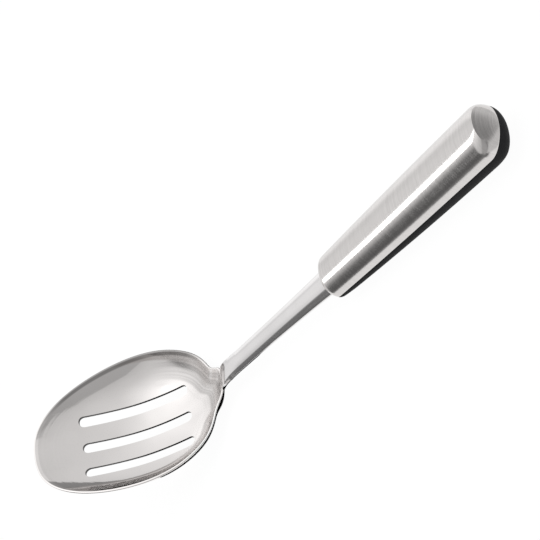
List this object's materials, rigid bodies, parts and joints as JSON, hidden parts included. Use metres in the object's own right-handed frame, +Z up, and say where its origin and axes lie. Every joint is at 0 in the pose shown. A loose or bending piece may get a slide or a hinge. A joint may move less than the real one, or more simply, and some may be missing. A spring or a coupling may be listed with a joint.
{
  "type": "slotted serving spoon",
  "caption": "Serving spoon with an egg-shaped slotted steel bowl, a narrow crowned shaft and a thick half-round handle of steel over soft black.",
  "frame": {"origin": "centre of the bounding box's base: on the table, midway between the bowl's tip and the handle's butt", "axes": "+X from the bowl's tip to the handle's butt, +Z up from the table that the spoon rests on, +Y to the left of someone who looks along +X"},
  "size_m": [0.2996, 0.065, 0.0495],
  "materials": {
    "polished_steel": "polished stainless steel",
    "brushed_steel": "stainless steel brushed around the handle",
    "core_plastic": "moulded black plastic",
    "soft_grip": "matt soft-touch black"
  },
  "bodies": {
    "root": {"bowl": "polished_steel", "shaft": "polished_steel", "handle_shell": "brushed_steel", "handle_core": "core_plastic", "grip_insert": "soft_grip"}
  },
  "joints": []
}
